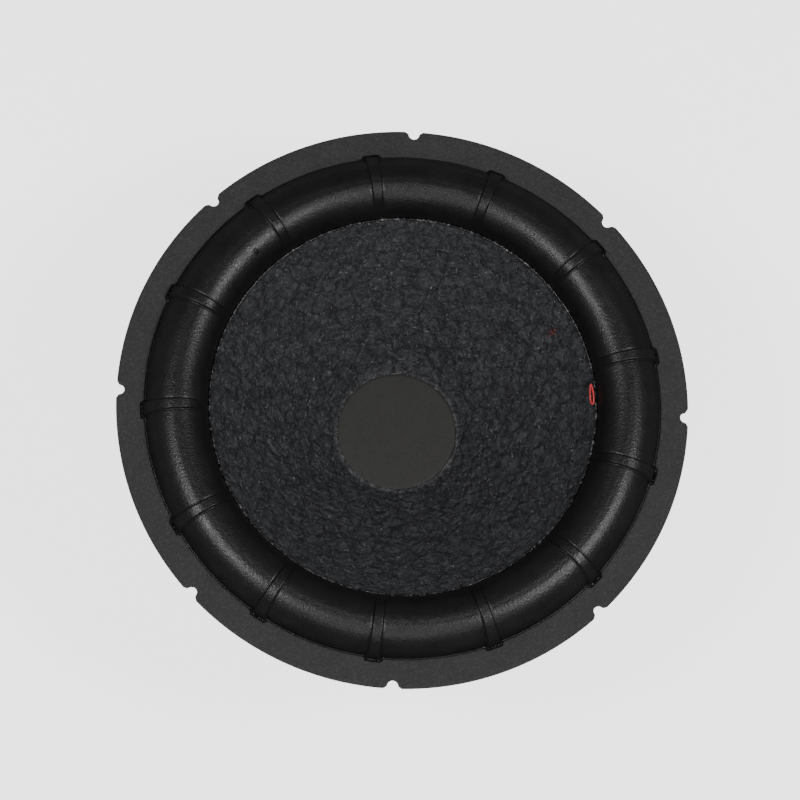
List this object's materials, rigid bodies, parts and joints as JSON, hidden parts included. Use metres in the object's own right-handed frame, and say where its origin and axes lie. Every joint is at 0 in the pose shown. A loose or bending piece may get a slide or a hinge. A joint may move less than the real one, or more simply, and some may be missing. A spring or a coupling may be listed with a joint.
{
  "type": "car subwoofer speaker",
  "caption": "Twelve-inch car subwoofer driver: slotted rim, tall ribbed rubber surround, stitched paper cone, flat cap, spoked basket, vented magnet and push terminals.",
  "frame": {"origin": "centre of the footprint, under the magnet boot, on the speaker's axis", "axes": "+Z along the speaker's axis, out of the cone; +X through a rim slot and the first coil's push terminal"},
  "size_m": [0.31, 0.31, 0.1712],
  "materials": {
    "surround_rubber": "satin",
    "boot_rubber": "matte",
    "paper_pulp": "matte",
    "cap_board": "matte",
    "gasket_board": "matte",
    "basket_paint": "satin",
    "plated_steel": "satin",
    "ferrite": "matte",
    "coil_former": "satin",
    "copper_wire": "satin",
    "spider_cloth": "matte",
    "thread_black": "matte",
    "thread_red": "matte",
    "adhesive": "gloss",
    "terminal_plastic": "satin",
    "button_red": "satin",
    "button_black": "satin",
    "spring_steel": "satin",
    "tinned_brass": "satin",
    "rivet_metal": "satin",
    "lead_braid": "satin"
  },
  "bodies": {
    "chassis": {"magnet_boot": "boot_rubber", "pole_yoke": "plated_steel", "magnet_rear": "ferrite", "magnet_front": "ferrite", "top_plate": "plated_steel", "basket": "basket_paint", "basket_screw_1": "plated_steel", "basket_screw_2": "plated_steel", "basket_screw_3": "plated_steel", "basket_screw_4": "plated_steel", "basket_screw_5": "plated_steel", "basket_screw_6": "plated_steel", "spider": "spider_cloth", "surround": "surround_rubber", "front_gasket": "gasket_board", "terminal_body_coil1": "terminal_plastic", "terminal_body_coil2": "terminal_plastic", "button_spring_coil1_plus": "spring_steel", "button_spring_coil1_minus": "spring_steel", "button_spring_coil2_plus": "spring_steel", "button_spring_coil2_minus": "spring_steel", "solder_tab_coil1_plus": "tinned_brass", "solder_tab_coil1_minus": "tinned_brass", "solder_tab_coil2_plus": "tinned_brass", "solder_tab_coil2_minus": "tinned_brass", "tinsel_lead_coil1_plus": "lead_braid", "tinsel_lead_coil1_minus": "lead_braid", "tinsel_lead_coil2_plus": "lead_braid", "tinsel_lead_coil2_minus": "lead_braid", "terminal_rivet_coil1_1": "rivet_metal", "terminal_rivet_coil1_2": "rivet_metal", "terminal_rivet_coil2_1": "rivet_metal", "terminal_rivet_coil2_2": "rivet_metal"},
    "moving_cone": {"cone": "paper_pulp", "dust_cap": "cap_board", "voice_coil_former": "coil_former", "coil_winding_inner": "copper_wire", "coil_winding_outer": "copper_wire", "neck_adhesive": "adhesive", "edge_bead": "adhesive", "seam_needle_thread": "thread_black", "seam_bobbin_thread": "thread_red", "thread_tail": "thread_red"},
    "button_coil1_plus": {"push_button_coil1_plus": "button_red"},
    "button_coil1_minus": {"push_button_coil1_minus": "button_black"},
    "button_coil2_plus": {"push_button_coil2_plus": "button_red"},
    "button_coil2_minus": {"push_button_coil2_minus": "button_black"}
  },
  "joints": [
    {"name": "cone_excursion", "type": "slide", "parent": "chassis", "child": "moving_cone", "axis": [0, 0, 1], "range_m": [-0.016, 0.016], "stiffness_N_per_m": 5000, "deforming": ["surround", "spider", "tinsel_lead_coil1_plus", "tinsel_lead_coil1_minus", "tinsel_lead_coil2_plus", "tinsel_lead_coil2_minus"]},
    {"name": "press_coil1_plus", "type": "slide", "parent": "chassis", "child": "button_coil1_plus", "axis": [0, 0, -1], "range_m": [0, 0.0028], "stiffness_N_per_m": 1500, "springref_m": -0.001, "deforming": ["button_spring_coil1_plus"]},
    {"name": "press_coil1_minus", "type": "slide", "parent": "chassis", "child": "button_coil1_minus", "axis": [0, 0, -1], "range_m": [0, 0.0028], "stiffness_N_per_m": 1500, "springref_m": -0.001, "deforming": ["button_spring_coil1_minus"]},
    {"name": "press_coil2_plus", "type": "slide", "parent": "chassis", "child": "button_coil2_plus", "axis": [0, 0, -1], "range_m": [0, 0.0028], "stiffness_N_per_m": 1500, "springref_m": -0.001, "deforming": ["button_spring_coil2_plus"]},
    {"name": "press_coil2_minus", "type": "slide", "parent": "chassis", "child": "button_coil2_minus", "axis": [0, 0, -1], "range_m": [0, 0.0028], "stiffness_N_per_m": 1500, "springref_m": -0.001, "deforming": ["button_spring_coil2_minus"]}
  ]
}
